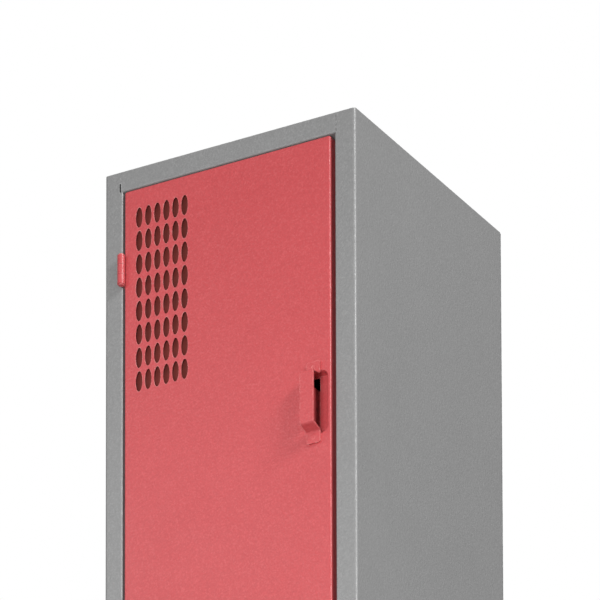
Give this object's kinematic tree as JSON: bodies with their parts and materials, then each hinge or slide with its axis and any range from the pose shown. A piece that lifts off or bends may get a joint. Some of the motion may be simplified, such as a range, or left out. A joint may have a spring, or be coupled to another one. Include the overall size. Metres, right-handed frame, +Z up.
{
  "type": "school locker",
  "caption": "Tiered sheet-steel school locker with hinged vented doors, strap handles over pressed recesses, padlock staples, coat hooks and levelling feet.",
  "frame": {"origin": "centre of the bounding box at floor level", "axes": "+Z up, doors face -Y, hinges on the -X side and handles on the +X side"},
  "size_m": [0.38, 0.416, 1.8],
  "materials": {
    "grey_powder_coat": "light grey powder coat, fine orange peel, semi-gloss",
    "red_powder_coat": "coral red powder coat, fine orange peel, semi-gloss",
    "oxide_primer": "matt red oxide primer",
    "zinc_steel": "bright zinc plating",
    "black_rubber": "matt black rubber",
    "black_plastic": "black moulded plastic",
    "ferrite": "sintered ferrite magnet"
  },
  "bodies": {
    "carcass": {"left_side_panel": "grey_powder_coat", "right_side_panel": "grey_powder_coat", "back_panel": "grey_powder_coat", "top_panel": "grey_powder_coat", "top_rail": "grey_powder_coat", "middle_rail": "grey_powder_coat", "base_rail": "grey_powder_coat", "rear_base_rail": "grey_powder_coat", "middle_shelf": "grey_powder_coat", "floor_panel": "grey_powder_coat", "foot_brackets": "grey_powder_coat", "foot_pads": "black_plastic", "foot_studs": "zinc_steel", "foot_nuts": "zinc_steel", "upper_hinge_frame_leaves": "red_powder_coat", "upper_hinge_pins": "red_powder_coat", "upper_padlock_staple": "red_powder_coat", "upper_catch_case": "black_plastic", "upper_catch_magnet": "ferrite", "upper_catch_rivets": "zinc_steel", "upper_door_buffers": "black_rubber", "upper_double_hook": "zinc_steel", "upper_side_hooks": "zinc_steel", "lower_hinge_frame_leaves": "red_powder_coat", "lower_hinge_pins": "red_powder_coat", "lower_padlock_staple": "red_powder_coat", "lower_catch_case": "black_plastic", "lower_catch_magnet": "ferrite", "lower_catch_rivets": "zinc_steel", "lower_door_buffers": "black_rubber", "lower_double_hook": "zinc_steel", "lower_side_hooks": "zinc_steel"},
    "upper_door": {"upper_door_panel": "red_powder_coat", "upper_door_stiffener": "red_powder_coat", "upper_door_handle": "red_powder_coat", "upper_handle_rivets": "red_powder_coat", "upper_hinge_door_leaves": "red_powder_coat", "upper_strike_plate": "zinc_steel", "upper_strike_rivets": "zinc_steel", "upper_vent_baffle": "oxide_primer"},
    "lower_door": {"lower_door_panel": "red_powder_coat", "lower_door_stiffener": "red_powder_coat", "lower_door_handle": "red_powder_coat", "lower_handle_rivets": "red_powder_coat", "lower_hinge_door_leaves": "red_powder_coat", "lower_strike_plate": "zinc_steel", "lower_strike_rivets": "zinc_steel", "lower_vent_baffle": "oxide_primer"}
  },
  "joints": [
    {"name": "upper_door_hinge", "type": "hinge", "parent": "carcass", "child": "upper_door", "pos_m": [-0.162, -0.1928, 1.366], "axis": [0, 0, -1], "range_deg": [0, 170]},
    {"name": "lower_door_hinge", "type": "hinge", "parent": "carcass", "child": "lower_door", "pos_m": [-0.162, -0.1928, 0.514], "axis": [0, 0, -1], "range_deg": [0, 170]}
  ]
}
